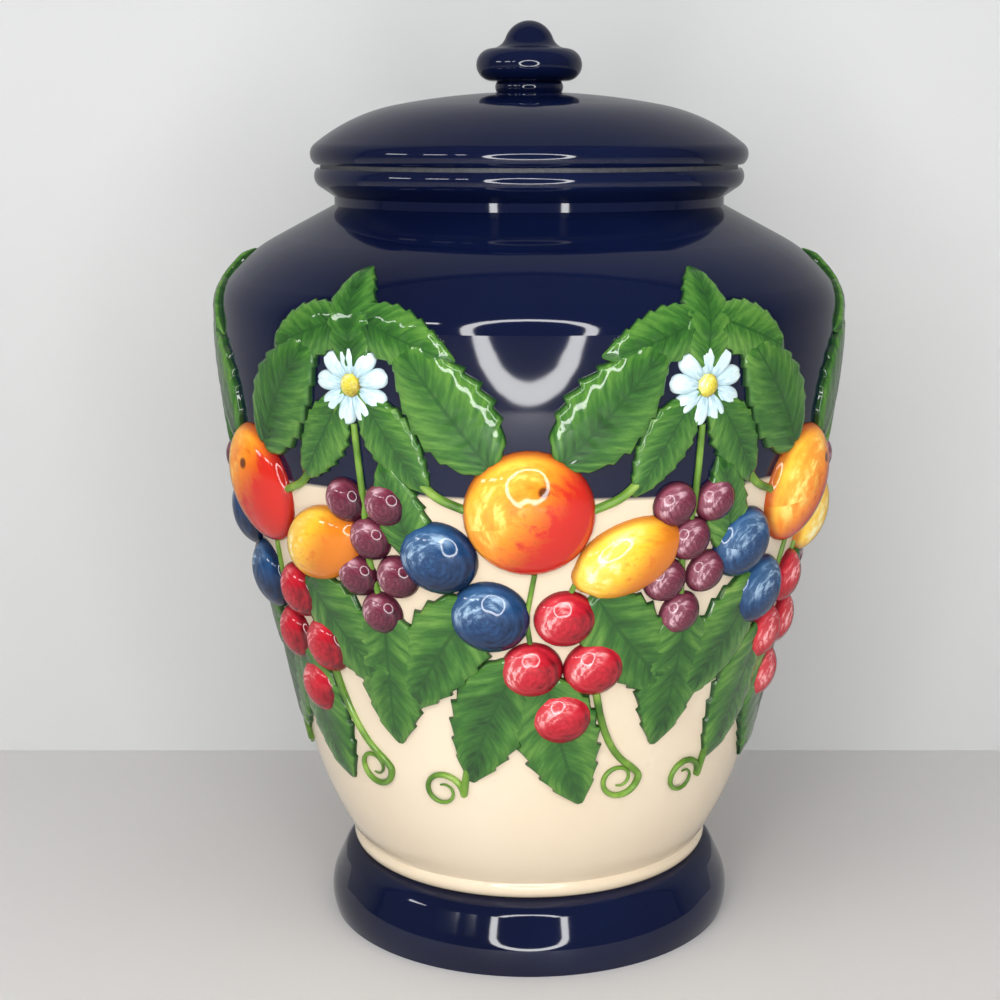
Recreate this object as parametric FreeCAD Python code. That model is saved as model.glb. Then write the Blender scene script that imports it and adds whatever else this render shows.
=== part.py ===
# Biscuit jar: a glazed, slip-cast jar on a foot ring, with a domed lid that lifts off and turns.
# Millimetres, +Z up, origin at the centre of the face that the jar stands on.
import FreeCAD, Part
import math
import os

from FreeCAD import Vector

# Foot ring
FOOT_RADIUS = 67.0          # widest part of the foot
FOOT_WIDEST_Z = 5.2
FOOT_FLANK = 16.0           # radius of the flank round that widest part
FOOT_SLOPE = 25.0           # degrees from upright, above the flank
FOOT_CREST = 7.0            # radius of the rounded top
FOOT_HEIGHT = 22.0
FOOT_BEARING = 7.0          # width of the unglazed face that the jar stands on
FOOT_LUTE = 10.0            # width of the joint between foot ring and jar
FOOT_SHELF = 5.0            # thickness of the foot under that joint
FOOT_INSET = 2.5            # inside of the foot under the shelf, in from the rounded top's centre

# Outside of the jar
LEDGE_REACH = 2.8           # rounded ledge on the foot ring, out from the foot's rounded top
LEDGE_RISE = 2.6
GROOVE_DEPTH = 0.6          # shadow line between ledge and wall, in from the ledge
GROOVE_RISE = 5.4
WAIST_Z = 64.0              # where the bowl passes into the straight taper
TAPER = 12.5                # degrees from upright
BELLY_RADIUS = 98.2         # widest part of the wall
BELLY_Z = 202.0
BELLY_CURVE = 247.0         # radius of the slow curve from taper to belly
TURN_CURVE = 14.0           # radius of the tight turn above the belly
TURN_ANGLE = 38.0
SHOULDER_CURVE = 46.0       # radius of the shoulder's dome
SHOULDER_ANGLE = 62.0       # degrees from upright where the dome ends
NECK_RADIUS = 61.6
NECK_HEIGHT = 2.6           # shoulder slope to the underside of the collar
COLLAR_REACH = 6.2          # rolled rim, out from the neck
COLLAR_CURVE = 4.0
COLLAR_RISE = 6.3           # neck to the widest part of the collar
RIM_RISE = 2.4              # widest part of the collar to the rim's flat face

# Inside of the jar
WALL = 5.5
FLOOR_THICKNESS = 6.5
FLOOR_CORNER = 7.0
FLOOR_CORNER_START = -20.0  # degrees, where the side passes into the floor's corner
NECK_WALL = 5.6

# Lid and seal
SEAL_THICKNESS = 1.3
SEAL_WIDTH = 11.5
SEAL_CLEARANCE = 0.3        # seal round the lid's flange
LID_OVERHANG = 1.2          # lid's edge, out from the rolled rim
LID_EDGE_CURVE = 4.0        # radius of the rolled edge
LID_EDGE_RISE = 3.1         # seat to the widest part
LID_EDGE_ANGLE = 51.0
LID_KNEE_CURVE = 58.0       # radius between rolled edge and dome
LID_KNEE_ANGLE = 79.0
LID_WALL = 5.0
FLANGE_CLEARANCE = 2.0      # flange in the mouth
FLANGE_WALL = 5.5
FLANGE_DEPTH = 9.0          # below the seat

# Knob
SPIGOT_RADIUS = 5.0         # plug luted into the lid
SPIGOT_DEPTH = 2.5
LUTE_GAP = 0.15
KNOB_SEAT_MARGIN = 1.0      # flat seat on the dome, past the stem
STEM_RADIUS = 10.1
STEM_HEIGHT = 3.4
STEM_BEAD = 0.6             # bead round the middle of the stem
KNOB_RADIUS = 16.6
KNOB_CURVE = 5.0            # radius of the knob's edge
KNOB_WIDEST_RISE = 8.5
KNOB_HOLLOW_CURVE = 5.0     # radius of the hollow between the edge and the tip
TIP_RADIUS = 7.9
TIP_RISE = 22.0             # lid to the top of the tip

# Raised garland: sprigs of clay on the wall, in equal repeats round the jar
REPEATS = 6
FRONT = -90.0               # direction that the first repeat faces, in degrees
SLIP = 0.1                  # film of slip under and between the sprigs
LEAF_THICKNESS = 2.0
LEAF_LENGTH = 46.0
LEAF_BULGE = 12.5           # how far each side of a leaf bows out
LEAFLET_LENGTH = 32.0
LEAFLET_BULGE = 8.0
BLOSSOM_THICKNESS = 2.6
PETALS = 8
PETAL_RADIUS = 3.6
PETAL_RING = 8.4            # centre of the blossom to the centre of a petal
EYE_RADIUS = 3.8
EYE_HEIGHT = 3.6

# A fruit is part of a ball: its radius seen on the wall, and its height over the wall.
ORANGE_RADIUS = 18.5
ORANGE_HEIGHT = 8.0
PLUM_RADIUS = 11.5
PLUM_HEIGHT = 6.5
CHERRY_RADIUS = 9.0
CHERRY_HEIGHT = 5.5
BERRY_RADIUS = 6.8
BERRY_HEIGHT = 4.8
LEMON_LENGTH = 34.0
LEMON_HALF_WIDTH = 11.5
LEMON_SINK = 4.2            # the lemon's axis lies this far under the wall's face

# Places in one repeat: degrees from its middle, height from the belly, and the way that a long sprig's
# tip points, in degrees from sideways.
ORANGES = [(0.0, -50.0)]
LEMONS = [(18.0, -64.0, 25.0)]
PLUMS = [(-16.5, -64.0), (-7.5, -81.5)]
CHERRIES = [(6.8, -82.0), (0.5, -98.0), (13.0, -98.0), (6.8, -113.5)]
BERRIES = [(26.0, -49.0), (34.5, -49.0), (30.2, -60.0), (35.0, -71.0), (26.0, -72.0), (30.4, -83.0)]
BLOSSOMS = [(30.0, -15.0)]
LEAVES = [
    (-14.0, -19.0, 128.0),
    (14.0, -19.0, 52.0),
    (-17.5, -94.0, 236.0),
    (21.0, -92.0, 308.0),
    (30.5, -104.0, 268.0),
    (7.0, -122.0, 282.0),
    (-8.0, -115.0, 250.0),
]
LEAFLETS = [
    (20.5, -1.5, 200.0),
    (39.5, -1.5, 340.0),
    (30.0, 5.0, 90.0),
    (22.5, -32.0, 238.0),
    (37.5, -32.0, 302.0),
    (-23.0, -50.0, 105.0),
]


def point(radius, z):
    return Vector(radius, 0, z)


def on_circle(centre, radius, angle):
    """A point of a circle in the profile's plane. The angle is in degrees, up from outward."""
    turn = math.radians(angle)
    return centre + Vector(math.cos(turn), 0, math.sin(turn)) * radius


def leaving_angle(start, centre, radius):
    """The angle on the circle where a line from start, outside and below it, meets it tangentially."""
    away = start - centre
    towards = math.degrees(math.atan2(away.z, away.x))
    return towards + math.degrees(math.acos(radius / away.Length))


class Outline:
    """A profile in the XZ plane, drawn from point to point and swept round the upright axis."""

    def __init__(self, start):
        self.first = self.here = start
        self.edges = []

    def to(self, end):
        if end.distanceToPoint(self.here) > 1e-6:
            self.edges.append(Part.LineSegment(self.here, end).toShape())
        self.here = end
        return self

    def round(self, centre, radius, first, last):
        self.to(on_circle(centre, radius, first))
        middle = on_circle(centre, radius, (first + last) / 2)
        end = on_circle(centre, radius, last)
        self.edges.append(Part.Arc(self.here, middle, end).toShape())
        self.here = end
        return self

    def through(self, middle, end):
        self.edges.append(Part.Arc(self.here, middle, end).toShape())
        self.here = end
        return self

    def solid(self):
        self.to(self.first)
        face = Part.Face(Part.Wire(self.edges))
        return face.revolve(Vector(0, 0, 0), Vector(0, 0, 1), 360)


def ring(inner, outer, low, high):
    return Part.makeCylinder(outer, high - low, Vector(0, 0, low)).cut(
        Part.makeCylinder(inner, high - low, Vector(0, 0, low))
    )


COLLAR_RADIUS = NECK_RADIUS + COLLAR_REACH
MOUTH_RADIUS = NECK_RADIUS - NECK_WALL
FLANGE_RADIUS = MOUTH_RADIUS - FLANGE_CLEARANCE
LID_RADIUS = COLLAR_RADIUS + LID_OVERHANG

# The jar's wall is one set of circles, so its inside and the garland's face are offsets of its outside.
BELLY_CENTRE = point(BELLY_RADIUS - BELLY_CURVE, BELLY_Z)
TURN_CENTRE = point(BELLY_RADIUS - TURN_CURVE, BELLY_Z)
SHOULDER_CENTRE = on_circle(TURN_CENTRE, TURN_CURVE - SHOULDER_CURVE, TURN_ANGLE)


def foot_crest_centre():
    slope = math.radians(FOOT_SLOPE)
    crest_z = FOOT_HEIGHT - FOOT_CREST
    across = (FOOT_FLANK - FOOT_CREST) / math.cos(slope)
    return point(FOOT_RADIUS - FOOT_FLANK + (FOOT_WIDEST_Z - crest_z) * math.tan(slope) + across, crest_z)


def groove(offset):
    return point(foot_crest_centre().x + LEDGE_REACH - GROOVE_DEPTH + offset, FOOT_HEIGHT + GROOVE_RISE)


def waist(offset):
    """The foot of the straight taper, at a distance outside the wall's face."""
    start = on_circle(BELLY_CENTRE, BELLY_CURVE + offset, -TAPER)
    return point(start.x - (start.z - WAIST_Z) * math.tan(math.radians(TAPER)), WAIST_Z)


def bowl(offset, foot):
    """The middle of the arc from foot to waist, which runs into the taper without a corner."""
    top = waist(offset)
    heading = Vector(-math.sin(math.radians(TAPER)), 0, -math.cos(math.radians(TAPER)))
    chord = foot - top
    inward = Vector(-heading.z, 0, heading.x)
    radius = chord.Length ** 2 / (2 * chord.dot(inward))
    centre = top + inward * radius
    half = (top + foot) / 2 - centre
    return centre + half.normalize() * abs(radius)


def slope_height(radius, offset):
    """Height of the shoulder's straight slope at a radius."""
    end = on_circle(SHOULDER_CENTRE, SHOULDER_CURVE + offset, SHOULDER_ANGLE)
    return end.z + (end.x - radius) / math.tan(math.radians(SHOULDER_ANGLE))


def neck_top_z():
    return slope_height(NECK_RADIUS, 0) + NECK_HEIGHT


def rim_z():
    """Height of the flat face that the seal lies on."""
    return neck_top_z() + COLLAR_RISE + RIM_RISE


def draw_wall(outline, offset):
    """The wall's face from the waist up to the end of the shoulder's dome."""
    outline.round(BELLY_CENTRE, BELLY_CURVE + offset, -TAPER, 0)
    outline.round(TURN_CENTRE, TURN_CURVE + offset, 0, TURN_ANGLE)
    outline.round(SHOULDER_CENTRE, SHOULDER_CURVE + offset, TURN_ANGLE, SHOULDER_ANGLE)
    return outline


def foot_ring():
    crest = foot_crest_centre()
    flank = point(FOOT_RADIUS - FOOT_FLANK, FOOT_WIDEST_Z)
    toe_angle = -math.degrees(math.asin(FOOT_WIDEST_Z / FOOT_FLANK))
    toe = on_circle(flank, FOOT_FLANK, toe_angle)
    lute_inner = crest.x - FOOT_LUTE
    bore = toe.x - FOOT_BEARING
    foot = Outline(toe)
    foot.round(flank, FOOT_FLANK, toe_angle, FOOT_SLOPE)
    foot.round(crest, FOOT_CREST, FOOT_SLOPE, 90)
    foot.to(point(lute_inner, FOOT_HEIGHT))
    foot.to(point(lute_inner, FOOT_HEIGHT - FOOT_SHELF))
    foot.to(point(crest.x - FOOT_INSET, FOOT_HEIGHT - FOOT_SHELF))
    foot.to(point(bore, 0))
    return foot.solid()


def collar(outline):
    """The neck and rolled rim, up to the flat face that the seal lies on."""
    neck_top = point(NECK_RADIUS, neck_top_z())
    centre = point(COLLAR_RADIUS - COLLAR_CURVE, neck_top_z() + COLLAR_RISE)
    outline.to(neck_top)
    rim_angle = math.degrees(math.asin(RIM_RISE / COLLAR_CURVE))
    outline.round(centre, COLLAR_CURVE, leaving_angle(neck_top, centre, COLLAR_CURVE), rim_angle)
    return outline


def jar_outside(offset=0.0):
    """The jar's outer face from the foot ring to the rim, as an outline still open at the inside."""
    base = foot_crest_centre().x + offset
    outline = Outline(point(0, FOOT_HEIGHT))
    outline.to(point(base, FOOT_HEIGHT))
    outline.through(point(base + LEDGE_REACH, FOOT_HEIGHT + LEDGE_RISE), groove(offset))
    outline.through(bowl(offset, groove(offset)), waist(offset))
    draw_wall(outline, offset)
    outline.to(point(NECK_RADIUS, slope_height(NECK_RADIUS, offset)))
    return outline


def jar_core():
    """The jar as if it were solid, for seating the sprigs."""
    return jar_outside(SLIP).to(point(0, slope_height(NECK_RADIUS, SLIP))).solid()


def jar_body():
    floor_z = FOOT_HEIGHT + FLOOR_THICKNESS
    corner = point(groove(-WALL).x - FLOOR_CORNER, floor_z + FLOOR_CORNER)
    outline = collar(jar_outside())
    outline.to(point(MOUTH_RADIUS, rim_z()))
    outline.to(point(MOUTH_RADIUS, slope_height(MOUTH_RADIUS, -WALL)))
    outline.to(on_circle(SHOULDER_CENTRE, SHOULDER_CURVE - WALL, SHOULDER_ANGLE))
    outline.round(SHOULDER_CENTRE, SHOULDER_CURVE - WALL, SHOULDER_ANGLE, TURN_ANGLE)
    outline.round(TURN_CENTRE, TURN_CURVE - WALL, TURN_ANGLE, 0)
    outline.round(BELLY_CENTRE, BELLY_CURVE - WALL, 0, -TAPER)
    outline.to(waist(-WALL))
    side = on_circle(corner, FLOOR_CORNER, FLOOR_CORNER_START)
    outline.through(bowl(-WALL, side), side)
    outline.round(corner, FLOOR_CORNER, FLOOR_CORNER_START, -90)
    outline.to(point(0, floor_z))
    return outline.solid()


def lid_seat_z():
    return rim_z() + SEAL_THICKNESS


def lid_circles():
    """Centres of the lid's rolled edge, knee and dome, and the dome's radius."""
    edge = point(LID_RADIUS - LID_EDGE_CURVE, lid_seat_z() + LID_EDGE_RISE)
    knee = on_circle(edge, LID_EDGE_CURVE - LID_KNEE_CURVE, LID_EDGE_ANGLE)
    knee_end = on_circle(knee, LID_KNEE_CURVE, LID_KNEE_ANGLE)
    dome_radius = knee_end.x / math.cos(math.radians(LID_KNEE_ANGLE))
    return edge, knee, on_circle(knee_end, -dome_radius, LID_KNEE_ANGLE), dome_radius


def knob_seat_z():
    """Height of the flat seat for the knob, cut in the top of the lid's dome."""
    centre, dome_radius = lid_circles()[2:]
    return centre.z + math.sqrt(dome_radius ** 2 - (STEM_RADIUS + KNOB_SEAT_MARGIN) ** 2)


def lid_seal():
    inner = FLANGE_RADIUS + SEAL_CLEARANCE
    return ring(inner, inner + SEAL_WIDTH, rim_z(), lid_seat_z())


def lid():
    edge, knee, dome, dome_radius = lid_circles()
    seat_z = lid_seat_z()
    hollow_radius = FLANGE_RADIUS - FLANGE_WALL
    under_angle = -math.degrees(math.asin(LID_EDGE_RISE / LID_EDGE_CURVE))
    seat_angle = math.degrees(math.acos((STEM_RADIUS + KNOB_SEAT_MARGIN) / dome_radius))
    hole_radius = SPIGOT_RADIUS + LUTE_GAP
    hole_z = knob_seat_z() - SPIGOT_DEPTH - LUTE_GAP
    outline = Outline(point(FLANGE_RADIUS, seat_z))
    outline.round(edge, LID_EDGE_CURVE, under_angle, LID_EDGE_ANGLE)
    outline.round(knee, LID_KNEE_CURVE, LID_EDGE_ANGLE, LID_KNEE_ANGLE)
    outline.round(dome, dome_radius, LID_KNEE_ANGLE, seat_angle)
    outline.to(point(hole_radius, knob_seat_z()))
    outline.to(point(hole_radius, hole_z))
    outline.to(point(0, hole_z))
    outline.to(point(0, dome.z + dome_radius - LID_WALL))
    hollow_angle = math.degrees(math.acos(hollow_radius / (dome_radius - LID_WALL)))
    outline.round(dome, dome_radius - LID_WALL, 90, hollow_angle)
    outline.to(point(hollow_radius, seat_z - FLANGE_DEPTH))
    outline.to(point(FLANGE_RADIUS, seat_z - FLANGE_DEPTH))
    return outline.solid()


def hollow_centre(edge, tip):
    """Centre of the knob's hollow, a circle that touches those of the edge and the tip from outside."""
    across = tip - edge
    near = KNOB_CURVE + KNOB_HOLLOW_CURVE
    far = TIP_RADIUS + KNOB_HOLLOW_CURVE
    corner = math.acos((near ** 2 + across.Length ** 2 - far ** 2) / (2 * near * across.Length))
    return on_circle(edge, near, math.degrees(math.atan2(across.z, across.x) - corner))


def direction(start, end):
    return math.degrees(math.atan2(end.z - start.z, end.x - start.x))


def lid_knob():
    base_z = knob_seat_z()
    edge = point(KNOB_RADIUS - KNOB_CURVE, base_z + KNOB_WIDEST_RISE)
    stem_top = point(STEM_RADIUS, base_z + STEM_HEIGHT)
    tip = point(0, base_z + TIP_RISE - TIP_RADIUS)
    hollow = hollow_centre(edge, tip)
    edge_end = direction(edge, hollow)
    tip_start = direction(tip, hollow)
    outline = Outline(point(0, base_z - SPIGOT_DEPTH))
    outline.to(point(SPIGOT_RADIUS, base_z - SPIGOT_DEPTH))
    outline.to(point(SPIGOT_RADIUS, base_z))
    outline.to(point(STEM_RADIUS, base_z))
    outline.through(point(STEM_RADIUS + STEM_BEAD, base_z + STEM_HEIGHT / 2), stem_top)
    outline.round(edge, KNOB_CURVE, leaving_angle(stem_top, edge, KNOB_CURVE), edge_end)
    outline.round(hollow, KNOB_HOLLOW_CURVE, edge_end + 180, tip_start + 180)
    outline.round(tip, TIP_RADIUS, tip_start, 90)
    return outline.solid()


def wall_face(height):
    """Radius, height and upward lean in degrees of the wall's face, at a height from the belly."""
    curve = BELLY_CURVE if height < 0 else TURN_CURVE
    lean = max(math.degrees(math.asin(max(height / curve, -1))), -TAPER)
    radius = BELLY_RADIUS - curve * (1 - math.cos(math.radians(lean)))
    straight = min(height + BELLY_CURVE * math.sin(math.radians(TAPER)), 0)
    return radius + straight * math.tan(math.radians(TAPER)), BELLY_Z + height, lean


def on_wall(shape, angle, height, tip=0.0):
    """A sprig drawn on the XY plane, tip along +X and face up, set on the wall."""
    radius, z, lean = wall_face(height)
    shape.rotate(Vector(0, 0, 0), Vector(0, 0, 1), tip)
    shape.rotate(Vector(0, 0, 0), Vector(1, 1, 1), 120)
    shape.rotate(Vector(0, 0, 0), Vector(0, 1, 0), -lean)
    shape.translate(point(radius, z))
    shape.rotate(Vector(0, 0, 0), Vector(0, 0, 1), angle + FRONT)
    return shape


def ball(seen, height):
    """A function that makes one fruit's whole ball at a place, grown all round if asked."""
    radius = (seen ** 2 + height ** 2) / (2 * height)
    return lambda place, grow: on_wall(Part.makeSphere(radius + grow, Vector(0, 0, height - radius)), *place)


def lemon(place, grow):
    """A lemon, swept from one arc round its long axis."""
    half = LEMON_LENGTH / 2 + grow
    bow = Part.Arc(Vector(-half, 0, 0), Vector(0, LEMON_HALF_WIDTH + grow, 0), Vector(half, 0, 0)).toShape()
    axis = Part.LineSegment(Vector(half, 0, 0), Vector(-half, 0, 0)).toShape()
    spindle = Part.Face(Part.Wire([bow, axis])).revolve(Vector(0, 0, 0), Vector(1, 0, 0), 360)
    spindle.translate(Vector(0, 0, -LEMON_SINK))
    return on_wall(spindle, *place)


def leaf(length, bulge):
    """A function that makes a leaf's outline, of two arcs, as a prism through the wall."""

    def make(place, grow):
        depth = length / 4
        stalk, tip = (Vector(end * (length / 2 + grow), 0, -depth) for end in (-1, 1))
        sides = [Part.Arc(stalk, Vector(0, side * (bulge + grow), -depth), tip).toShape() for side in (1, -1)]
        outline = Part.Face(Part.Wire(Part.sortEdges(sides)[0]))
        return on_wall(outline.extrude(Vector(0, 0, 2 * depth)), *place)

    return make


def blossom(place, grow):
    """A flat flower: petals round a heart, pressed on at its middle."""
    thickness = BLOSSOM_THICKNESS + grow
    petals = []
    for count in range(PETALS):
        turn = math.radians(360.0 / PETALS * count)
        middle = Vector(PETAL_RING * math.cos(turn), PETAL_RING * math.sin(turn), SLIP)
        petals.append(Part.makeCylinder(PETAL_RADIUS + grow, thickness, middle))
    heart = Part.makeCylinder(PETAL_RING + grow, thickness, Vector(0, 0, SLIP))
    return on_wall(heart.multiFuse(petals).removeSplitter(), *place)


def eye(place, grow):
    return on_wall(Part.makeCylinder(EYE_RADIUS + grow, EYE_HEIGHT, Vector(0, 0, SLIP)), *place)


def leaf_layer(core):
    """A layer of clay over the wall, which the leaves are cut from."""
    offset = SLIP + LEAF_THICKNESS
    return jar_outside(offset).to(point(0, slope_height(NECK_RADIUS, offset))).solid().cut(core)


def with_neighbours(shape):
    """A sprig and its copies in the repeats on both sides."""
    copies = [shape]
    for side in (-1, 1):
        copy = shape.copy()
        copy.rotate(Vector(0, 0, 0), Vector(0, 0, 1), side * 360.0 / REPEATS)
        copies.append(copy)
    return copies


def garland(core):
    """The sprigs of one repeat, by name, made from the top of the pile down, each clear of those over it."""
    layer = leaf_layer(core)
    kinds = [
        ("blossom_eyes", BLOSSOMS, eye, None),
        ("blossom_sprigs", BLOSSOMS, blossom, None),
        ("orange_sprigs", ORANGES, ball(ORANGE_RADIUS, ORANGE_HEIGHT), None),
        ("lemon_sprigs", LEMONS, lemon, None),
        ("cherry_sprigs", CHERRIES, ball(CHERRY_RADIUS, CHERRY_HEIGHT), None),
        ("plum_sprigs", PLUMS, ball(PLUM_RADIUS, PLUM_HEIGHT), None),
        ("berry_sprigs", BERRIES, ball(BERRY_RADIUS, BERRY_HEIGHT), None),
        ("leaf_sprigs", LEAVES, leaf(LEAF_LENGTH, LEAF_BULGE), layer),
        ("leaf_sprigs", LEAFLETS, leaf(LEAFLET_LENGTH, LEAFLET_BULGE), layer),
    ]
    over, pieces = [], {}
    for name, places, make, cut_from in kinds:
        for place in places:
            sprig = make(place, 0)
            sprig = sprig.common(cut_from) if cut_from else sprig.cut(core)
            near = [other for other in over if other.BoundBox.intersect(sprig.BoundBox)]
            clear = sprig.cut(near) if near else sprig
            pieces.setdefault(name, []).append(max(clear.Solids, key=lambda solid: solid.Volume))
            over += with_neighbours(make(place, SLIP))
    return pieces


def round_the_jar(sprigs):
    copies = []
    for count in range(REPEATS):
        for sprig in sprigs:
            copy = sprig.copy()
            copy.rotate(Vector(0, 0, 0), Vector(0, 0, 1), 360.0 / REPEATS * count)
            copies.append(copy)
    return Part.makeCompound(copies)


def write(name, shape):
    shape.exportStep(os.path.join("parts", name + ".step"))
    print(name, len(shape.Solids), "solids", round(shape.Volume), "mm3")


os.makedirs("parts", exist_ok=True)
write("foot_ring", foot_ring())
write("jar_body", jar_body())
write("lid_seal", lid_seal())
write("lid", lid())
write("lid_knob", lid_knob())
for sprig_name, sprigs in garland(jar_core()).items():
    write(sprig_name, round_the_jar(sprigs))
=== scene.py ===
import math
import random

import bmesh
import bpy
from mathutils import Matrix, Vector


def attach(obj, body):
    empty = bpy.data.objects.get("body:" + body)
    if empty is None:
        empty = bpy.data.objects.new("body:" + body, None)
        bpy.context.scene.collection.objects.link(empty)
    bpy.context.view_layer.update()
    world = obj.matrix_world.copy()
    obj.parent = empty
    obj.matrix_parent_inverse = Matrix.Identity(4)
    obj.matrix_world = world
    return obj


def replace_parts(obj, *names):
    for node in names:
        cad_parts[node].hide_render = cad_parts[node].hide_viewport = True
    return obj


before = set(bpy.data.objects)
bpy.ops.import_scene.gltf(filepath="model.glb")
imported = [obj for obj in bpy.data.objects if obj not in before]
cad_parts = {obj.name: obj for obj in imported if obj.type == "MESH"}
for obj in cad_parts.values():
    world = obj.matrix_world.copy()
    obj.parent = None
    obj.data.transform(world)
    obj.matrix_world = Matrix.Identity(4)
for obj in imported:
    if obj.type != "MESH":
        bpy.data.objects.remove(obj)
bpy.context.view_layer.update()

print("frame loaded")

# the jar's wall, in metres and degrees, the same curves as the jar itself
wall = {
    "bellyRadius": 0.0982, "bellyZ": 0.202, "bellyCurve": 0.247, "taper": 12.5,
    "turnCurve": 0.014, "turnAngle": 38, "shoulderCurve": 0.046, "shoulderAngle": 62,
    "lowest": -0.2, "highest": 0.06, "halvings": 40,   # where a height is looked for along it, and how finely
}
garland = {"repeats": 6, "front": -90}


def wallAt(along):
    # radius, height and lean of the wall, at a length along it up from the belly
    taper, turn, dome = (math.radians(wall[k]) for k in ("taper", "turnAngle", "shoulderAngle"))
    radius, z = wall["bellyRadius"], wall["bellyZ"]
    if along < 0:
        lean = max(along / wall["bellyCurve"], -taper)
        radius -= wall["bellyCurve"] * (1 - math.cos(lean))
        z += wall["bellyCurve"] * math.sin(lean)
        rest = min(along + wall["bellyCurve"] * taper, 0)
        return radius + rest * math.sin(taper), z + rest * math.cos(taper), lean
    bends = ((wall["turnCurve"], 0, turn), (wall["shoulderCurve"], turn, dome))
    for curve, first, last in bends:
        lean = min(first + along / curve, last)
        radius += curve * (math.cos(lean) - math.cos(first))
        z += curve * (math.sin(lean) - math.sin(first))
        along = max(along - curve * (last - first), 0)
        if not along:
            break
    return radius - along * math.sin(lean), z + along * math.cos(lean), lean


def lengthTo(z):
    # the length along the wall at which it reaches a height
    low, high = wall["lowest"], wall["highest"]
    for halving in range(wall["halvings"]):
        middle = (low + high) / 2
        low, high = (middle, high) if wallAt(middle)[1] < z else (low, middle)
    return low


def onWall(place, across, up, lift, base=None):
    # a point on the wall, in metres sideways, upwards and outwards from a place given as degrees and height;
    # base is that height's length along the wall, where it is known already
    radius, z, lean = wallAt((lengthTo(place[1]) if base is None else base) + up)
    turn = math.radians(place[0] + garland["front"]) + across / radius
    out = radius + lift * math.cos(lean)
    return Vector((out * math.cos(turn), out * math.sin(turn), z + lift * math.sin(lean)))


def settle(verts, place, tip):
    # wraps a sprig drawn flat, tip along X and face up Z, onto the wall
    turn = math.radians(tip)
    base = lengthTo(place[1])
    for vert in verts:
        x, y, lift = vert.co
        across = x * math.cos(turn) - y * math.sin(turn)
        vert.co = onWall(place, across, x * math.sin(turn) + y * math.cos(turn), lift, base)


def repeatPlaces(places):
    # each place once in every repeat of the garland, with the way its tip points, or 0
    for turn in range(garland["repeats"]):
        for degrees, z, *tip in places:
            yield (degrees + 360 / garland["repeats"] * turn, z), (tip[0] if tip else 0)


def setUv(verts, uvLayer, spotOf):
    for face in {face for vert in verts for face in vert.link_faces}:
        for loop in face.loops:
            loop[uvLayer].uv = spotOf(loop.vert.co)


def addPiece(name, mesh):
    piece = bpy.data.objects.new(name, mesh)
    bpy.context.collection.objects.link(piece)
    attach(piece, "jar")
    return piece


def makePiece(name, bm, material):
    mesh = bpy.data.meshes.new(name)
    bmesh.ops.recalc_face_normals(bm, faces=bm.faces)
    for face in bm.faces:
        face.smooth = True
    bm.to_mesh(mesh)
    bm.free()
    mesh.materials.append(material)
    return addPiece(name, mesh)


# glazes

def newMaterial(name):
    material = bpy.data.materials.new(name)
    material.use_nodes = True
    nodes = material.node_tree.nodes
    return material, nodes, material.node_tree.links, nodes["Principled BSDF"]


def addNode(nodes, kind, **values):
    node = nodes.new(kind)
    for key, value in values.items():
        if key in node.inputs:
            node.inputs[key].default_value = value
        else:
            setattr(node, key, value)
    return node


def feed(links, socket, value):
    # gives a socket a colour, a number or another node's output
    if isinstance(value, tuple):
        socket.default_value = (*value, 1)
    elif isinstance(value, (int, float)):
        socket.default_value = value
    else:
        links.new(value, socket)


def calc(nodes, links, operation, first, second=0):
    node = addNode(nodes, "ShaderNodeMath", operation=operation)
    for socket, value in zip(node.inputs, (first, second)):
        feed(links, socket, value)
    return node.outputs[0]


def weigh(nodes, links, *shares):
    # the sum of several values, each times its share
    total, *rest = [calc(nodes, links, "MULTIPLY", value, share) for value, share in shares]
    for part in rest:
        total = calc(nodes, links, "ADD", total, part)
    return total


def distance(nodes, links, first, second):
    squares = [calc(nodes, links, "POWER", value, 2.0) for value in (first, second)]
    return calc(nodes, links, "POWER", calc(nodes, links, "ADD", *squares), 0.5)


def spread(nodes, links, value, low, high, start=0.0, end=1.0, way="SMOOTHSTEP"):
    # a value carried from one range to another, and no further
    limits = {"From Min": low, "From Max": high, "To Min": start, "To Max": end}
    node = addNode(nodes, "ShaderNodeMapRange", interpolation_type=way, **limits)
    links.new(value, node.inputs["Value"])
    return node.outputs[0]


def cloud(nodes, links, coords, scale, detail):
    noise = addNode(nodes, "ShaderNodeTexNoise", Scale=scale, Detail=detail)
    links.new(coords, noise.inputs["Vector"])
    return noise.outputs["Fac"]


def ramp(nodes, links, value, stops):
    node = nodes.new("ShaderNodeValToRGB")
    while len(node.color_ramp.elements) < len(stops):
        node.color_ramp.elements.new(0.5)
    for element, (position, colour) in zip(node.color_ramp.elements, stops):
        element.position = position
        element.color = (*colour, 1)
    links.new(value, node.inputs["Fac"])
    return node.outputs["Color"]


def mixColours(nodes, links, factor, first, second, blend="MIX"):
    node = addNode(nodes, "ShaderNodeMix", data_type="RGBA", blend_type=blend)
    for socket, value in zip((node.inputs[0], node.inputs[6], node.inputs[7]), (factor, first, second)):
        feed(links, socket, value)
    return node.outputs[2]


gloss = {"roughness": 0.06, "ior": 1.50, "specular": 0.42, "ripple": 0.0001, "rippleScale": 60, "bump": 0.5}
sprigGloss = {"ripple": 0.0002, "rippleScale": 140}


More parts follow.
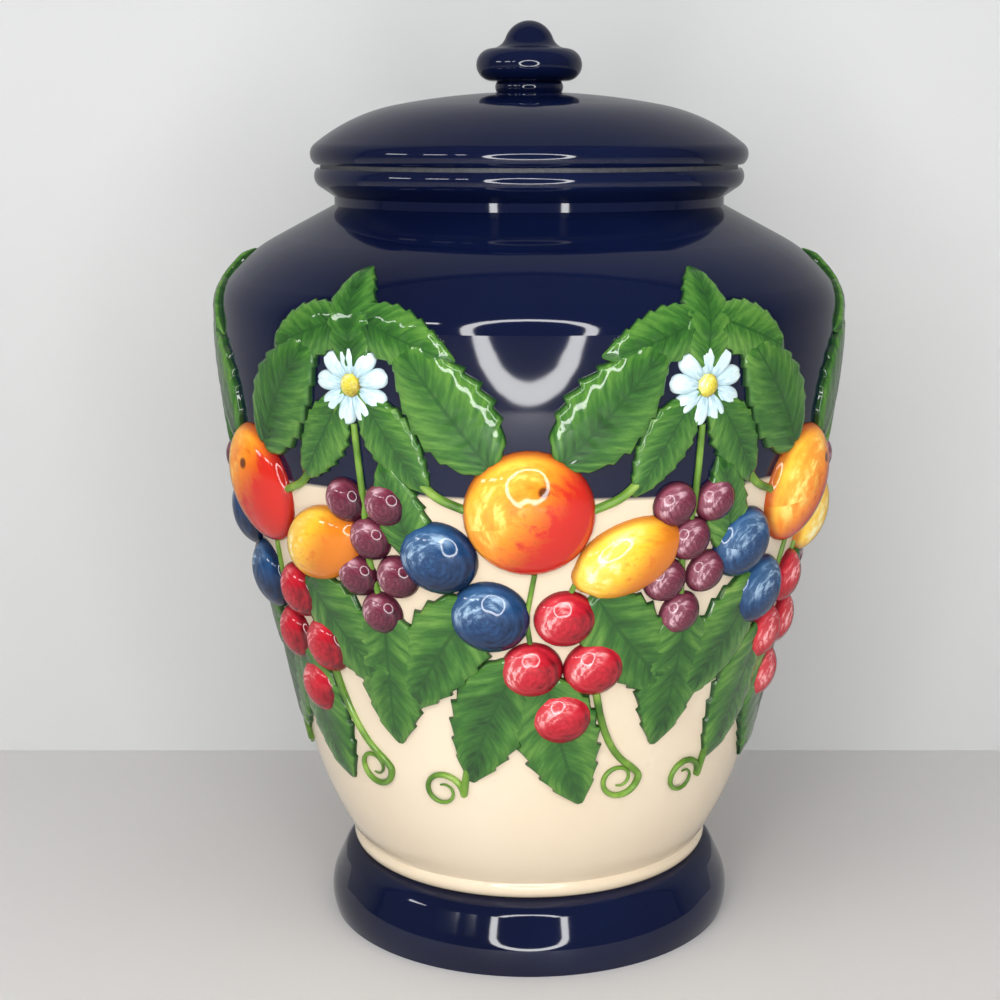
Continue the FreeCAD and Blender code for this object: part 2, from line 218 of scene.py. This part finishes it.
def glazeSurface(nodes, links, shader, roughness=gloss["roughness"], ripple=gloss["ripple"],
                 rippleScale=gloss["rippleScale"]):
    # a fired gloss glaze: even, with a slow ripple that bends its reflections
    shader.inputs["Roughness"].default_value = roughness
    shader.inputs["IOR"].default_value = gloss["ior"]
    shader.inputs["Specular IOR Level"].default_value = gloss["specular"]
    coords = nodes.new("ShaderNodeTexCoord").outputs["Object"]
    bump = addNode(nodes, "ShaderNodeBump", Strength=gloss["bump"], Distance=ripple)
    links.new(cloud(nodes, links, coords, rippleScale, 2.0), bump.inputs["Height"])
    links.new(bump.outputs["Normal"], shader.inputs["Normal"])
    return coords


def sprigUv(nodes, links):
    # along and across the sprig, each from -1 to 1
    split = nodes.new("ShaderNodeSeparateXYZ")
    links.new(nodes.new("ShaderNodeUVMap").outputs[0], split.inputs[0])
    return [calc(nodes, links, "MULTIPLY", calc(nodes, links, "SUBTRACT", split.outputs[axis], 0.5), 2.0)
            for axis in ("X", "Y")]


stroke = {"stretch": 1.3, "scatter": 11.0, "detail": 4.0, "roughness": 0.62}


def brushMarks(nodes, links, coords, first, second, finest):
    # streaks of a loaded brush: fine along the first value, drawn out along the second, others on each sprig
    spot = nodes.new("ShaderNodeCombineXYZ")
    links.new(calc(nodes, links, "MULTIPLY", first, finest), spot.inputs["X"])
    links.new(calc(nodes, links, "MULTIPLY", second, stroke["stretch"]), spot.inputs["Y"])
    scatter = addNode(nodes, "ShaderNodeVectorMath", operation="SCALE", Scale=stroke["scatter"])
    shift = addNode(nodes, "ShaderNodeVectorMath", operation="ADD")
    streaks = addNode(nodes, "ShaderNodeTexNoise", Scale=1.0, Detail=stroke["detail"],
                      Roughness=stroke["roughness"])
    links.new(coords, scatter.inputs[0])
    links.new(spot.outputs[0], shift.inputs[0])
    links.new(scatter.outputs[0], shift.inputs[1])
    links.new(shift.outputs[0], streaks.inputs["Vector"])
    return streaks.outputs["Fac"]


glazes = {
    "cobalt": (0.0017, 0.0036, 0.020), "cobaltThin": (0.0032, 0.0070, 0.033),
    "cream": (0.72, 0.62, 0.48), "creamWarm": (0.65, 0.53, 0.38),
    "lineZ": 0.1545, "lineWave": 0.006,   # height of the edge between cobalt and cream, and how far it wanders
    "lineBelow": 0.0004, "lineAbove": 0.0008,   # how far that edge is soft
    "brownLow": 0.021, "brownHigh": 0.05, "fadeShare": 0.45,   # where the cream turns darker and browner low down, and how much at the bottom
    "inside": -0.0012, "outside": -0.0004,   # how far a face looks away from the axis, inside and outside
    "seal": (0.060, 0.065, 0.075), "sealWorn": (0.10, 0.105, 0.115), "sealRoughness": 0.45, "sealGrain": 900,
}


def cobaltTint(nodes, links, value):
    return ramp(nodes, links, value, [(0.35, glazes["cobalt"]), (0.75, glazes["cobaltThin"])])


def cobaltGlaze():
    material, nodes, links, shader = newMaterial("cobaltGlaze")
    coords = glazeSurface(nodes, links, shader)
    pool = cloud(nodes, links, coords, 18.0, 3.0)
    links.new(cobaltTint(nodes, links, pool), shader.inputs["Base Color"])
    return material


def jarGlaze():
    # cobalt down to a hand-painted line, cream below it and inside
    material, nodes, links, shader = newMaterial("jarGlaze")
    coords = glazeSurface(nodes, links, shader)
    split = nodes.new("ShaderNodeSeparateXYZ")
    links.new(coords, split.inputs[0])
    wander = calc(nodes, links, "SUBTRACT", cloud(nodes, links, coords, 9.0, 2.0), 0.5)
    shifted = calc(nodes, links, "MULTIPLY", wander, 2 * glazes["lineWave"])
    height = calc(nodes, links, "ADD", split.outputs["Z"], shifted)
    above = spread(nodes, links, height, glazes["lineZ"] - glazes["lineBelow"],
                   glazes["lineZ"] + glazes["lineAbove"], way="LINEAR")
    pool = cloud(nodes, links, coords, 14.0, 3.0)
    blue = cobaltTint(nodes, links, pool)
    cream = ramp(nodes, links, pool, [(0.3, glazes["cream"]), (0.8, glazes["creamWarm"])])
    # the cream is a little darker and browner low down, towards the ledge
    low = spread(nodes, links, split.outputs["Z"], glazes["brownLow"], glazes["brownHigh"], glazes["fadeShare"], 0.0,
                 way="LINEAR")
    cream = mixColours(nodes, links, low, cream, glazes["creamWarm"])
    # the inside, whose face looks at the axis, is cream throughout
    level = addNode(nodes, "ShaderNodeVectorMath", operation="MULTIPLY")
    level.inputs[1].default_value = (1, 1, 0)
    facing = addNode(nodes, "ShaderNodeVectorMath", operation="DOT_PRODUCT")
    links.new(coords, level.inputs[0])
    links.new(level.outputs[0], facing.inputs[0])
    links.new(nodes.new("ShaderNodeNewGeometry").outputs["True Normal"], facing.inputs[1])
    outside = spread(nodes, links, facing.outputs["Value"], glazes["inside"], glazes["outside"])
    blueShare = calc(nodes, links, "MULTIPLY", above, outside)
    links.new(mixColours(nodes, links, blueShare, cream, blue), shader.inputs["Base Color"])
    return material


def sealRubber():
    material, nodes, links, shader = newMaterial("sealRubber")
    coords = glazeSurface(nodes, links, shader, roughness=glazes["sealRoughness"],
                          rippleScale=glazes["sealGrain"])
    grain = cloud(nodes, links, coords, glazes["sealGrain"], 2.0)
    tint = ramp(nodes, links, grain, [(0.3, glazes["seal"]), (0.7, glazes["sealWorn"])])
    links.new(tint, shader.inputs["Base Color"])
    return material


print("glazes ready")


# leaves

leafCut = {
    "length": 0.0465, "halfWidth": 0.0132, "smallLength": 0.0325, "smallHalfWidth": 0.0086,
    "height": 0.0020, "edgeHeight": 0.0009, "root": 0.0006, "step": 0.00030, "rows": 54, "columns": 14,
    "fullness": 2.70, "stalkEnd": 0.62, "tipEnd": 0.92,   # how broad the blade is, and how it narrows at each end
    "teeth": 8, "toothStart": 0.35, "toothDepth": 0.16,
    "veins": 7, "veinSlant": 1.5, "veinWidth": 0.13, "veinDepth": 0.00032, "ribWidth": 0.0007, "ribDepth": 0.00055,
    "sway": 3, "bend": 0.16,   # how far each leaf strays from its direction, and curves
}
leafPaint = {
    "dark": (0.010, 0.038, 0.012), "middle": (0.034, 0.125, 0.020), "light": (0.105, 0.24, 0.040),
    "pale": (0.36, 0.48, 0.12), "rib": (0.016, 0.070, 0.014),
    "slant": 0.42, "finest": 9.0, "marks": 0.95, "edge": 0.20, "patch": 0.45, "patchScale": 34.0, "deeper": 0.42,
}
leafPlaces = [(-14, 0.183, 128), (14, 0.183, 52), (-17.5, 0.108, 236), (21, 0.110, 308), (30.5, 0.098, 268),
              (7, 0.080, 282), (-8, 0.087, 250)]
leafletPlaces = [(20.5, 0.2005, 200), (39.5, 0.2005, 340), (30, 0.207, 90), (22.5, 0.170, 238),
                 (37.5, 0.170, 302), (-23, 0.152, 105)]


def leafGlaze():
    # strokes run out from the midrib along the side veins, dark at the rib, pale towards the edge, outlined dark
    material, nodes, links, shader = newMaterial("leafGlaze")
    coords = glazeSurface(nodes, links, shader, **sprigGloss)
    along, across = sprigUv(nodes, links)
    side = calc(nodes, links, "ABSOLUTE", across)
    slant = calc(nodes, links, "MULTIPLY", side, leafPaint["slant"])
    veinWay = calc(nodes, links, "SUBTRACT", along, slant)
    marks = brushMarks(nodes, links, coords, veinWay, side, leafPaint["finest"])
    patch = cloud(nodes, links, coords, leafPaint["patchScale"], 1.0)
    edge = spread(nodes, links, side, 0.05, 0.75)
    shade = weigh(nodes, links, (marks, leafPaint["marks"]), (edge, leafPaint["edge"]), (patch, leafPaint["patch"]))
    blade = ramp(nodes, links, calc(nodes, links, "SUBTRACT", shade, leafPaint["deeper"]),
                 [(0.05, leafPaint["dark"]), (0.38, leafPaint["middle"]),
                  (0.66, leafPaint["light"]), (0.92, leafPaint["pale"])])
    rib = spread(nodes, links, side, 0.02, 0.07, 0.75, 0.0)
    ribbed = mixColours(nodes, links, rib, blade, leafPaint["rib"])
    outline = spread(nodes, links, side, 0.90, 0.98, 0.0, 0.85)
    links.new(mixColours(nodes, links, outline, ribbed, leafPaint["dark"]), shader.inputs["Base Color"])
    return material


def shapeLeaf(vert, length, halfWidth, bend, lift):
    # a toothed and veined blade out of a flat unit grid, its edge turned down into the wall
    along, side = vert.co.x + 0.5, math.sin(math.pi * vert.co.y)
    out = abs(side)
    widest = leafCut["fullness"] * max(along, 0) ** leafCut["stalkEnd"] * max(1 - along, 0) ** leafCut["tipEnd"]
    tooth = (along * leafCut["teeth"] + leafCut["toothStart"]) % 1
    cutEdge = 1 + leafCut["toothDepth"] * ((1 - tooth) ** 1.5 - 0.55) * out ** 4
    y = side * widest * cutEdge * halfWidth
    bulge = math.sqrt(max(0, 1 - out ** 2.6))
    height = leafCut["edgeHeight"] * min(1, (1 - out) * 9) + (leafCut["height"] - leafCut["edgeHeight"]) * bulge
    height *= min(1, widest * 2.4)
    veinPhase = (along * leafCut["veins"] - out * leafCut["veinSlant"]) % 1
    vein = math.exp(-((veinPhase - 0.5) / leafCut["veinWidth"]) ** 2) * min(1, out * 5) * (1 - out ** 3)
    rib = math.exp(-(y / leafCut["ribWidth"]) ** 2) * (1 - along)
    height -= leafCut["veinDepth"] * vein * widest + leafCut["ribDepth"] * rib
    if out > 0.999 or along in (0, 1):
        height = -leafCut["root"] - lift
    y += bend * length * ((along - 0.5) ** 2 - 0.08)
    vert.co = Vector(((along - 0.5) * length, y, height + lift))


def addLeaf(bm, uvLayer, place, tip, length, halfWidth, lift, chance):
    made = bmesh.ops.create_grid(bm, x_segments=leafCut["rows"], y_segments=leafCut["columns"], size=0.5)["verts"]
    bend = chance.uniform(-leafCut["bend"], leafCut["bend"])
    setUv(made, uvLayer, lambda spot: (spot.x + 0.5, 0.5 + 0.5 * math.sin(math.pi * spot.y)))
    for vert in made:
        shapeLeaf(vert, length, halfWidth, bend, lift)
    settle(made, place, tip)


def makeLeaves():
    chance = random.Random(4)
    bm = bmesh.new()
    uvLayer = bm.loops.layers.uv.new("sprig")
    for places, length, halfWidth, lift in (
            (leafletPlaces, leafCut["smallLength"], leafCut["smallHalfWidth"], 0.0),
            (leafPlaces, leafCut["length"], leafCut["halfWidth"], leafCut["step"])):
        for turn, (place, tip) in enumerate(repeatPlaces(places)):
            step = leafCut["step"] * (turn % len(places) % 3) / 3   # neighbours lie at different heights
            sway = chance.uniform(-leafCut["sway"], leafCut["sway"])
            addLeaf(bm, uvLayer, place, tip + sway, length, halfWidth, lift + step, chance)
    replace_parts(makePiece("leafSprigs", bm, leafGlaze()), "leaf_sprigs")


# fruit

fruit = {
    "orange": {
        "places": [(0, 0.152)], "radius": (0.0187, 0.0187), "height": 0.0079, "crease": 0.0009, "strokes": 5.0,
        "dark": (0.30, 0.012, 0.008), "middle": (0.86, 0.24, 0.015), "light": (0.92, 0.52, 0.05),
        "stroke": (0.97, 0.78, 0.22), "blush": (0.52, 0.020, 0.012), "navel": (0.30, 0.42),
    },
    "lemon": {
        "places": [(18, 0.138, 25)], "radius": (0.0172, 0.0112), "height": 0.0071, "nipple": 0.176, "strokes": 5.0,
        "dark": (0.45, 0.10, 0.008), "middle": (0.86, 0.46, 0.03), "light": (0.93, 0.68, 0.10),
        "stroke": (0.98, 0.92, 0.52), "blush": (0.60, 0.17, 0.012),
    },
    "plum": {
        "places": [(-16.5, 0.138), (-7.5, 0.1205)], "radius": (0.0117, 0.0112), "height": 0.0065,
        "crease": 0.0008, "dark": (0.003, 0.009, 0.032), "middle": (0.011, 0.042, 0.12),
        "light": (0.035, 0.11, 0.25), "stroke": (0.36, 0.50, 0.64),
    },
    "cherry": {
        "places": [(6.8, 0.120), (0.5, 0.104), (13, 0.104), (6.8, 0.0885)], "radius": (0.0091, 0.0089),
        "height": 0.0055, "crease": 0.0004, "dark": (0.11, 0.003, 0.007), "middle": (0.42, 0.010, 0.022),
        "light": (0.60, 0.035, 0.05), "stroke": (0.86, 0.46, 0.46),
    },
    "berry": {
        "places": [(26, 0.153), (34.5, 0.153), (30.2, 0.142), (35, 0.131), (26, 0.130), (30.4, 0.119)],
        "radius": (0.0069, 0.0068), "height": 0.0048, "dark": (0.035, 0.006, 0.014),
        "middle": (0.13, 0.022, 0.042), "light": (0.26, 0.065, 0.10), "stroke": (0.66, 0.44, 0.50),
    },
}
fruitForm = {
    "around": 36, "rings": 22, "root": 0.0010, "fullness": 1.15, "creaseWidth": 0.13, "nippleStart": 0.72,
    "sway": 22, "strokes": 7.0, "navel": (0.06, 0.012, 0.006),
}


def fruitGlaze(name, spec):
    # a round fruit: deep at its lower right, full colour across it, and pale strokes curved round its upper left
    material, nodes, links, shader = newMaterial(name)
    coords = glazeSurface(nodes, links, shader, **sprigGloss)
    right, up = sprigUv(nodes, links)
    reach = distance(nodes, links, right, up)
    turn = calc(nodes, links, "ARCTAN2", up, right)
    lit = calc(nodes, links, "MULTIPLY", calc(nodes, links, "SUBTRACT", up, right), 0.7)
    marks = brushMarks(nodes, links, coords, reach, turn, spec.get("strokes", fruitForm["strokes"]))
    shade = weigh(nodes, links, (lit, 0.34), (marks, 0.9))
    colour = ramp(nodes, links, shade, [(0.12, spec["dark"]), (0.45, spec["middle"]), (0.85, spec["light"])])
    if "blush" in spec:
        cheek = weigh(nodes, links, (lit, -1.1), (calc(nodes, links, "SUBTRACT", marks, 0.5), 1.6))
        colour = mixColours(nodes, links, spread(nodes, links, cheek, -0.25, 0.45), colour, spec["blush"])
    crescent = calc(nodes, links, "MULTIPLY", spread(nodes, links, lit, 0.12, 0.50),
                    spread(nodes, links, reach, 0.92, 0.70))
    broken = calc(nodes, links, "MULTIPLY", crescent, spread(nodes, links, marks, 0.46, 0.64, 0.08, 0.85))
    colour = mixColours(nodes, links, broken, colour, spec["stroke"])
    if "navel" in spec:
        offset = [calc(nodes, links, "SUBTRACT", value, place) for value, place in zip((right, up), spec["navel"])]
        navel = spread(nodes, links, distance(nodes, links, *offset), 0.05, 0.11, 0.9, 0.0)
        colour = mixColours(nodes, links, navel, colour, fruitForm["navel"])
    outline = spread(nodes, links, reach, 0.88, 0.99, 0.0, 0.8)
    links.new(mixColours(nodes, links, outline, colour, spec["dark"]), shader.inputs["Base Color"])
    return material


def addFruit(bm, uvLayer, place, tip, spec):
    made = bmesh.ops.create_uvsphere(bm, u_segments=fruitForm["around"], v_segments=fruitForm["rings"],
                                     radius=1)["verts"]
    setUv(made, uvLayer, lambda spot: (spot.x / 2 + 0.5, spot.y / 2 + 0.5))
    for vert in made:
        x, y, z = vert.co
        reach = math.hypot(x, y)
        if "nipple" in spec:
            pull = max(0, abs(x) - fruitForm["nippleStart"]) / (1 - fruitForm["nippleStart"])
            y *= 1 - spec["nipple"] * math.sin(math.pi * min(pull, 1))
        height = spec["height"] * z ** fruitForm["fullness"] if z > 0 else fruitForm["root"] * z
        if "crease" in spec:
            crease = math.exp(-(x / fruitForm["creaseWidth"]) ** 2) * max(0, y + 0.15) * (1 - reach)
            height -= spec["crease"] * crease
        vert.co = Vector((x * spec["radius"][0], y * spec["radius"][1], height))
    settle(made, place, tip)


def makeFruit(kind):
    spec = fruit[kind]
    chance = random.Random(len(kind))
    bm = bmesh.new()
    uvLayer = bm.loops.layers.uv.new("sprig")
    for place, tip in repeatPlaces(spec["places"]):
        addFruit(bm, uvLayer, place, tip or chance.uniform(-fruitForm["sway"], fruitForm["sway"]), spec)
    glaze = fruitGlaze(kind + "Glaze", spec)
    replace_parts(makePiece(kind + "Sprigs", bm, glaze), kind + "_sprigs")


# daisies

daisy = {
    "place": [(30, 0.187, 15)], "petals": 9, "petalLength": 0.0092, "petalWidth": 0.0034, "ring": 0.0072,
    "height": 0.0024, "root": 0.0004, "crease": 0.0004, "rows": 14, "columns": 10, "narrow": 0.62,
    "dark": (0.17, 0.32, 0.42), "middle": (0.46, 0.62, 0.68), "light": (0.70, 0.80, 0.80),
}
daisyEye = {
    "radius": (0.0037, 0.0037), "height": 0.0034, "dark": (0.20, 0.14, 0.02), "middle": (0.60, 0.50, 0.05),
    "light": (0.84, 0.76, 0.20), "stroke": (0.95, 0.92, 0.55),
}


def petalGlaze():
    material, nodes, links, shader = newMaterial("petalGlaze")
    coords = glazeSurface(nodes, links, shader, **sprigGloss)
    along, across = sprigUv(nodes, links)
    marks = brushMarks(nodes, links, coords, across, along, 5.0)
    tipward = calc(nodes, links, "ADD", calc(nodes, links, "MULTIPLY", along, 0.5), 0.5)
    shade = weigh(nodes, links, (marks, 0.9), (tipward, 0.35))
    colour = ramp(nodes, links, shade, [(0.25, daisy["dark"]), (0.55, daisy["middle"]), (0.85, daisy["light"])])
    edge = spread(nodes, links, calc(nodes, links, "ABSOLUTE", across), 0.82, 0.98, 0.0, 0.7)
    links.new(mixColours(nodes, links, edge, colour, daisy["dark"]), shader.inputs["Base Color"])
    return material


def shapePetal(vert, turn):
    along, side = vert.co.x + 0.5, math.sin(math.pi * vert.co.y)
    widen = 1 - daisy["narrow"]
    outline = max(0, 1 - abs(2 * along - 1) ** 2.6) ** 0.5 * (daisy["narrow"] + widen * along)
    x = daisy["ring"] + (along - 0.5) * daisy["petalLength"]
    y = side * outline * daisy["petalWidth"]
    arch = daisy["narrow"] + widen * math.sin(math.pi * along)
    lift = daisy["height"] * arch * math.sqrt(max(0, 1 - abs(side) ** 3))
    lift -= daisy["crease"] * math.exp(-(side / 0.2) ** 2)
    if abs(side) > 0.999 or along in (0, 1):
        lift = -daisy["root"]
    vert.co = Vector((x * math.cos(turn) - y * math.sin(turn), x * math.sin(turn) + y * math.cos(turn), lift))


def makeDaisies():
    bm, eyes = bmesh.new(), bmesh.new()
    uvLayer, eyeLayer = (each.loops.layers.uv.new("sprig") for each in (bm, eyes))
    for place, tip in repeatPlaces(daisy["place"]):
        for count in range(daisy["petals"]):
            made = bmesh.ops.create_grid(bm, x_segments=daisy["rows"], y_segments=daisy["columns"],
                                         size=0.5)["verts"]
            setUv(made, uvLayer, lambda spot: (spot.x + 0.5, spot.y + 0.5))
            for vert in made:
                shapePetal(vert, 2 * math.pi * count / daisy["petals"])
            settle(made, place, tip)
        addFruit(eyes, eyeLayer, place, tip, daisyEye)
    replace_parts(makePiece("blossomSprigs", bm, petalGlaze()), "blossom_sprigs")
    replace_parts(makePiece("blossomEyes", eyes, fruitGlaze("eyeGlaze", daisyEye)), "blossom_eyes")


# stalks and tendrils, thin rolls of clay laid on the wall

stalk = {
    "radius": 0.0011, "sink": 0.4, "parts": 3,
    "dark": (0.045, 0.12, 0.012), "middle": (0.13, 0.26, 0.03), "light": (0.32, 0.44, 0.09),
}
stalkRuns = [   # a roll's radius and its routes, for the cherries, the berries and the garland
    (0.0008, [((6.8, 0.1245), (8.2, 0.130), (10.5, 0.137)), ((0.5, 0.109), (-0.6, 0.120), (1.0, 0.134)),
              ((13, 0.109), (14.2, 0.118), (12.5, 0.130))]),
    (0.0010, [((30.4, 0.121), (29.0, 0.138), (30.0, 0.152), (29.8, 0.176))]),
    (0.0013, [((-29.5, 0.189), (-24, 0.170), (-16, 0.156), (-6, 0.150)),
              ((29.5, 0.189), (24, 0.170), (16, 0.156), (6, 0.150))]),
]
tendril = {
    "runs": [((-9, 0.096), (-14, 0.073), (-20.5, 0.062)), ((13, 0.104), (15.5, 0.078), (21, 0.066))],
    "turns": 1.35, "reach": 0.0068, "radius": 0.0012, "lift": 0.0006, "steps": 24, "tighten": 0.68, "fadeShare": 0.75,
}


def addRoll(curve, points, radius, fadeShare=0.0):
    spline = curve.splines.new("NURBS")
    spline.points.add(len(points) - 1)
    for index, (knot, spot) in enumerate(zip(spline.points, points)):
        knot.co = (*spot, 1)
        knot.radius = radius * (1 - fadeShare * index / (len(points) - 1)) / stalk["radius"]
    spline.order_u = 4
    spline.use_endpoint_u = True


def stalkPoints(route, spin, lift):
    dense = []
    for first, last in zip(route, route[1:]):
        dense += [tuple(a + (b - a) * part / stalk["parts"] for a, b in zip(first, last))
                  for part in range(stalk["parts"])]
    dense.append(route[-1])
    return [onWall((degrees + spin, z), 0, 0, lift) for degrees, z in dense]


def tendrilPoints(start, bend, curl, spin):
    # from under a leaf, round a bend, into a flat spiral that tightens
    hand = 1 if start[0] > curl[0] else -1
    points = [onWall((degrees + spin, z), 0, 0, tendril["lift"]) for degrees, z in (start, bend)]
    for step in range(tendril["steps"] + 1):
        part = step / tendril["steps"]
        swing = hand * (2 * math.pi * tendril["turns"] * part + 0.9 * math.pi)
        reach = tendril["reach"] * (1 - tendril["tighten"] * part)
        points.append(onWall((curl[0] + spin, curl[1]), -reach * math.cos(swing), -reach * math.sin(swing),
                             tendril["lift"]))
    return points


def stalkGlaze():
    material, nodes, links, shader = newMaterial("stalkGlaze")
    coords = glazeSurface(nodes, links, shader, rippleScale=200)
    streak = cloud(nodes, links, coords, 110.0, 2.0)
    tint = ramp(nodes, links, streak, [(0.3, stalk["dark"]), (0.55, stalk["middle"]), (0.8, stalk["light"])])
    links.new(tint, shader.inputs["Base Color"])
    return material


def makeStalks():
    curve = bpy.data.curves.new("garlandStalks", "CURVE")
    curve.dimensions = "3D"
    curve.bevel_depth = stalk["radius"]
    curve.bevel_resolution = 3
    curve.use_fill_caps = True
    for turn in range(garland["repeats"]):
        spin = 360 / garland["repeats"] * turn
        for radius, routes in stalkRuns:
            for route in routes:
                addRoll(curve, stalkPoints(route, spin, radius * stalk["sink"]), radius)
        for run in tendril["runs"]:
            addRoll(curve, tendrilPoints(*run, spin), tendril["radius"], tendril["fadeShare"])
    drawn = bpy.data.objects.new("garlandStalks", curve)
    bpy.context.collection.objects.link(drawn)
    mesh = bpy.data.meshes.new_from_object(drawn.evaluated_get(bpy.context.evaluated_depsgraph_get()))
    bpy.data.objects.remove(drawn)
    for face in mesh.polygons:
        face.use_smooth = True
    mesh.materials.clear()
    mesh.materials.append(stalkGlaze())
    addPiece("garlandStalks", mesh)


makeLeaves()
for kind in fruit:
    makeFruit(kind)
makeDaisies()
makeStalks()
print("garland ready")


def repaint(node, material):
    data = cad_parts[node].data
    data.materials.clear()
    data.materials.append(material)


cobalt = cobaltGlaze()
repaint("jar_body", jarGlaze())
for node in ("foot_ring", "lid", "lid_knob"):
    repaint(node, cobalt)
repaint("lid_seal", sealRubber())
print("jar glazed")


# floor, backdrop, lamps and camera

studio = {
    "floorColour": (0.60, 0.585, 0.575), "wallColour": (0.58, 0.585, 0.585), "wallInGlaze": 0.45, "wallY": 0.14,
    "half": 3, "mottle": 0.96, "roughness": 0.55, "world": 0.15, "worldColour": (0.93, 0.96, 1.0, 1),
}
lamps = {   # place and power
    "keyLamp": ((-0.6, -1.1, 1.3), 11.0), "fillLamp": ((1.1, -0.9, 0.9), 7.0), "topLamp": ((0, -0.3, 1.6), 7.0),
}
lampSide = 1.2
ringLamp = {"place": (0, -0.62, 0.26), "target": (0, 0, 0.22), "size": 0.50, "power": 1.7, "hole": 0.40,
            "strength": 6.0}
windows = [((-1.13, -0.41, 0.52), (0.26, 0.09)), ((-0.87, -0.79, 0.52), (0.26, 0.09)),
           ((-0.66, -0.98, 0.54), (0.11, 0.06))]
windowPower = 3.6   # for each metre of width
targets = {"lamps": (0, 0, 0.12), "windows": (0, 0, 0.2)}


def stagePaint(name, colour, inGlaze):
    material, nodes, links, shader = newMaterial(name)
    shader.inputs["Roughness"].default_value = studio["roughness"]
    mottling = cloud(nodes, links, nodes.new("ShaderNodeTexCoord").outputs["Object"], 3.0, 3.0)
    shown = ramp(nodes, links, mottling, [(0.2, tuple(studio["mottle"] * part for part in colour)), (0.8, colour)])
    if inGlaze < 1:
        dimmed = mixColours(nodes, links, 1.0, shown, (inGlaze,) * 3, "MULTIPLY")
        glossy = nodes.new("ShaderNodeLightPath").outputs["Is Glossy Ray"]
        shown = mixColours(nodes, links, glossy, shown, dimmed)
    links.new(shown, shader.inputs["Base Color"])
    return material


def makeStage():
    half, back = studio["half"], studio["wallY"]
    for name, colour, inGlaze, spots in (
            ("floor", studio["floorColour"], 1,
             [(-half, -half, 0), (half, -half, 0), (half, back, 0), (-half, back, 0)]),
            ("backdrop", studio["wallColour"], studio["wallInGlaze"],
             [(-half, back, 0), (half, back, 0), (half, back, half), (-half, back, half)])):
        bm = bmesh.new()
        bm.faces.new([bm.verts.new(spot) for spot in spots])
        mesh = bpy.data.meshes.new(name)
        bm.to_mesh(mesh)
        bm.free()
        mesh.materials.append(stagePaint(name + "Paint", colour, inGlaze))
        stagePiece = bpy.data.objects.new(name, mesh)
        bpy.context.collection.objects.link(stagePiece)


def addLamp(name, shape, place, target, size, power):
    data = bpy.data.lights.new(name, "AREA")
    data.shape = shape
    data.size, data.size_y = size
    data.energy = power
    lamp = bpy.data.objects.new(name, data)
    lamp.location = place
    lamp.rotation_euler = (Vector(target) - Vector(place)).to_track_quat("-Z", "Y").to_euler()
    bpy.context.collection.objects.link(lamp)
    return lamp


def addRing():
    # a round lamp lit only near its rim
    data = addLamp("ringLamp", "DISK", ringLamp["place"], ringLamp["target"], (ringLamp["size"],) * 2,
                   ringLamp["power"]).data
    data.use_nodes = True
    nodes, links = data.node_tree.nodes, data.node_tree.links
    offset = addNode(nodes, "ShaderNodeVectorMath", operation="SUBTRACT")
    offset.inputs[1].default_value = (0.5, 0.5, 0)
    length = addNode(nodes, "ShaderNodeVectorMath", operation="LENGTH")
    links.new(nodes.new("ShaderNodeNewGeometry").outputs["Parametric"], offset.inputs[0])
    links.new(offset.outputs[0], length.inputs[0])
    rim = calc(nodes, links, "GREATER_THAN", length.outputs["Value"], ringLamp["hole"])
    glow = calc(nodes, links, "MULTIPLY", rim, ringLamp["strength"])
    links.new(glow, nodes["Emission"].inputs["Strength"])


def makeLamps():
    for name, (place, power) in lamps.items():
        addLamp(name, "RECTANGLE", place, targets["lamps"], (lampSide,) * 2, power).visible_glossy = False
    addRing()
    # windows to the left, seen as short dashes in the glaze
    for count, (place, size) in enumerate(windows):
        addLamp("windowLamp" + str(count), "RECTANGLE", place, targets["windows"], size, windowPower * size[0])
    world = bpy.data.worlds.new("studioLight")
    bpy.context.scene.world = world
    world.use_nodes = True
    world.node_tree.nodes["Background"].inputs["Color"].default_value = studio["worldColour"]
    world.node_tree.nodes["Background"].inputs["Strength"].default_value = studio["world"]


view = {"distance": 0.580, "height": 0.2574, "pitch": 11.76, "sensor": 36, "focal": 1.80, "shift": -0.0292}


def makeCamera():
    data = bpy.data.cameras.new("photoCamera")
    data.sensor_width = view["sensor"]
    data.lens = view["sensor"] * view["focal"]
    data.shift_x = view["shift"]
    data.clip_start = 0.01
    camera = bpy.data.objects.new("photoCamera", data)
    camera.location = (0, -view["distance"], view["height"])
    camera.rotation_euler = (math.radians(90 - view["pitch"]), 0, 0)
    bpy.context.collection.objects.link(camera)
    bpy.context.scene.camera = camera


makeStage()
makeLamps()
makeCamera()
bpy.context.scene.view_settings.view_transform = "Standard"
print("studio ready")
